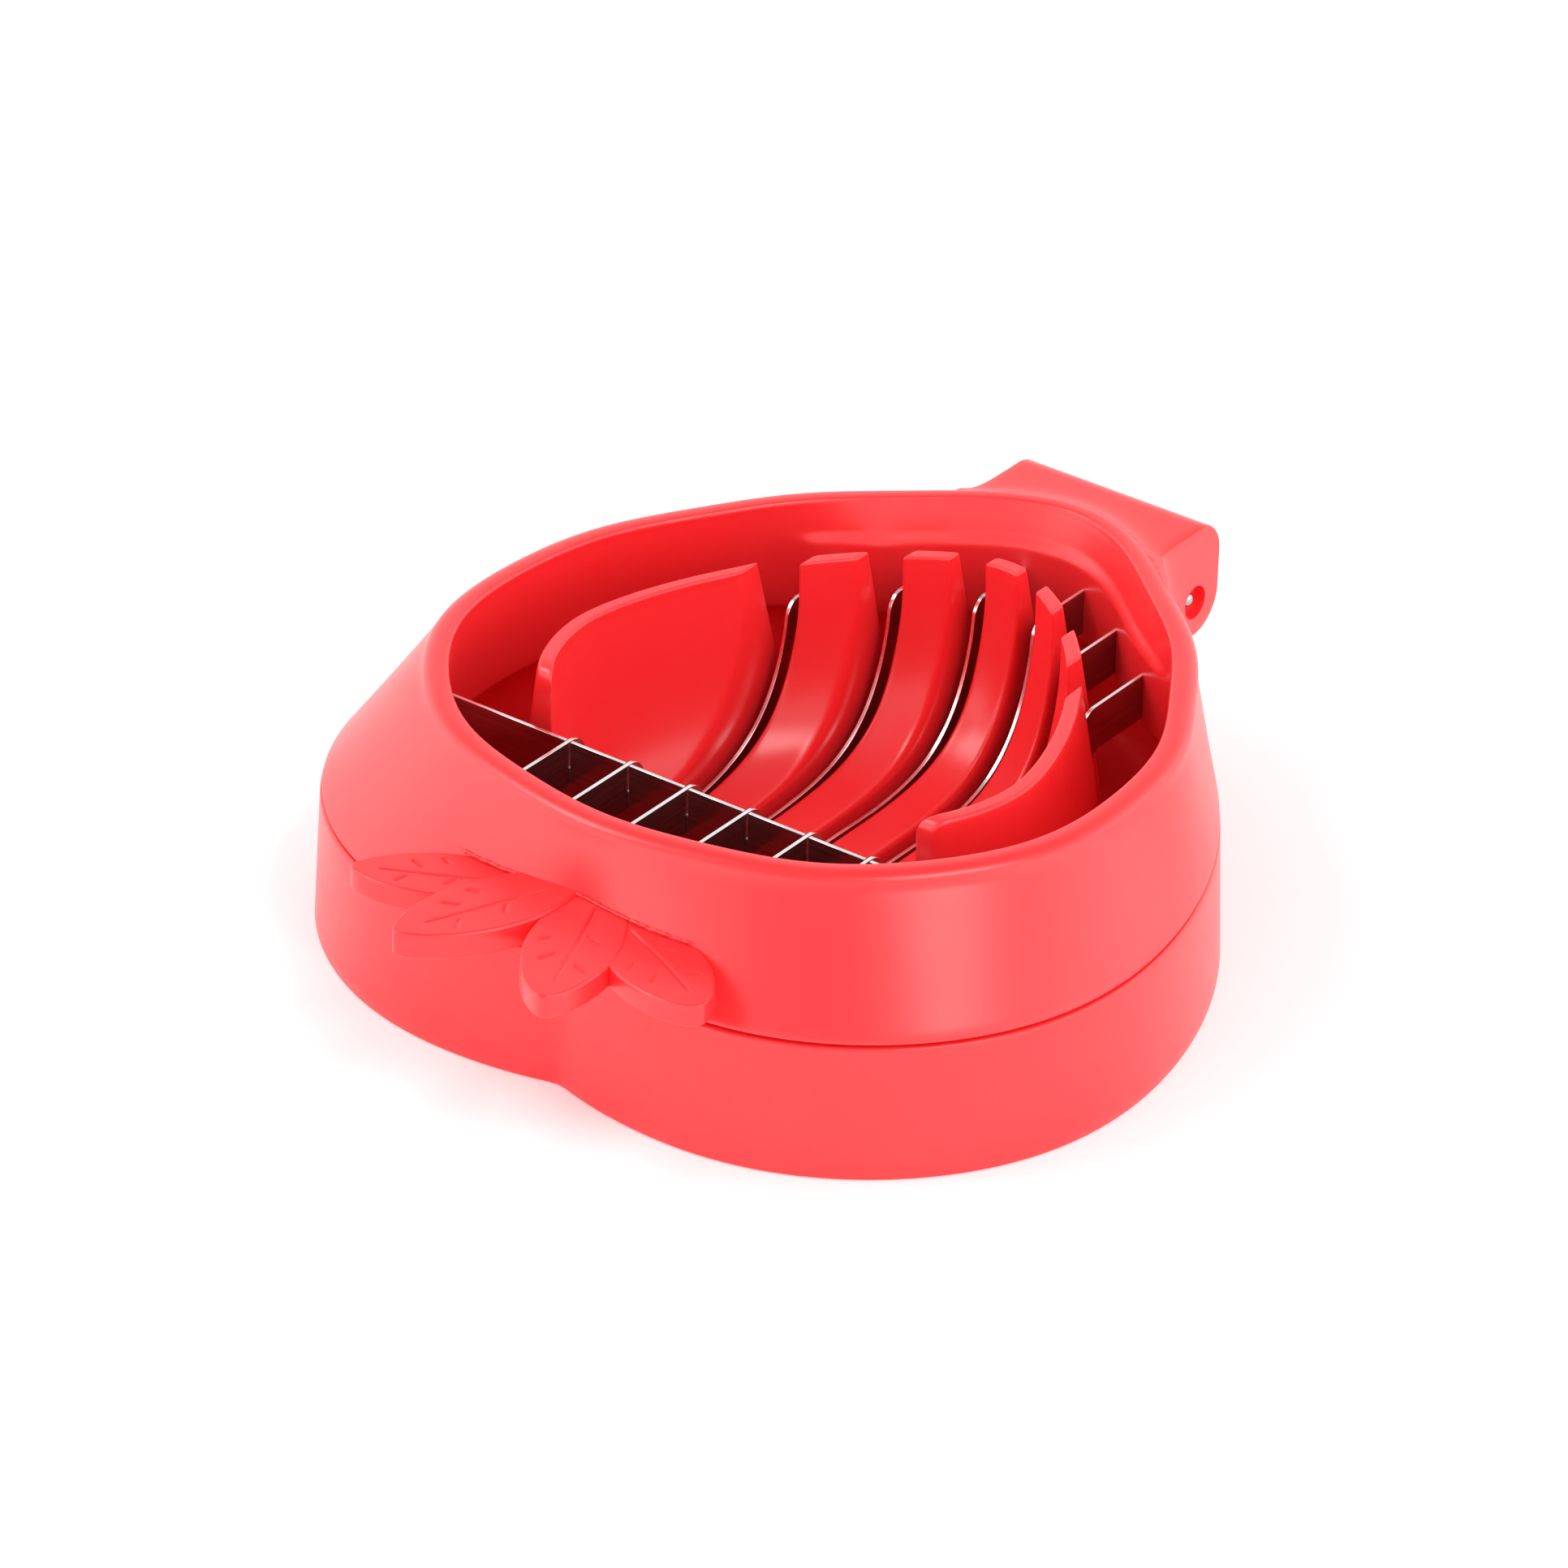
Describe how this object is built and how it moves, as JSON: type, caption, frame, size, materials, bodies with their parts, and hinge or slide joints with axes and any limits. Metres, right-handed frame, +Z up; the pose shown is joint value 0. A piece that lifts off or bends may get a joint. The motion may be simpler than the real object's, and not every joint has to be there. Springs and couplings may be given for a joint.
{
  "type": "egg slicer",
  "caption": "Hand egg slicer: a strawberry-shaped hinged shell whose lid carries steel blades that drop into the slots of an egg-shaped ribbed cradle.",
  "frame": {"origin": "on the bench under the cradle, on the symmetry plane, at the centre of the base's resting face mount", "axes": "+Z up, +Y towards the hinge at the pointed end, X along the hinge pin"},
  "size_m": [0.0876, 0.1042, 0.0261],
  "materials": {
    "red_plastic": "satin moulded coral red plastic",
    "blade_steel": "fine ground stainless sheet",
    "pin_steel": "turned stainless pin"
  },
  "bodies": {
    "base": {"base_shell": "red_plastic", "cradle_rib_1": "red_plastic", "cradle_rib_2": "red_plastic", "cradle_rib_3": "red_plastic", "cradle_rib_4": "red_plastic", "cradle_rib_5": "red_plastic", "cradle_rib_6": "red_plastic", "cradle_rib_7": "red_plastic"},
    "lid": {"lid_frame": "red_plastic", "leaf_crown": "red_plastic", "slicing_blade_1": "blade_steel", "slicing_blade_2": "blade_steel", "slicing_blade_3": "blade_steel", "slicing_blade_4": "blade_steel", "slicing_blade_5": "blade_steel", "slicing_blade_6": "blade_steel", "cross_blade": "blade_steel", "hinge_pin": "pin_steel"}
  },
  "joints": [
    {"name": "lid_hinge", "type": "hinge", "parent": "base", "child": "lid", "pos_m": [0, 0.0347, 0.0173], "axis": [-1, 0, 0], "range_deg": [0, 105]}
  ]
}
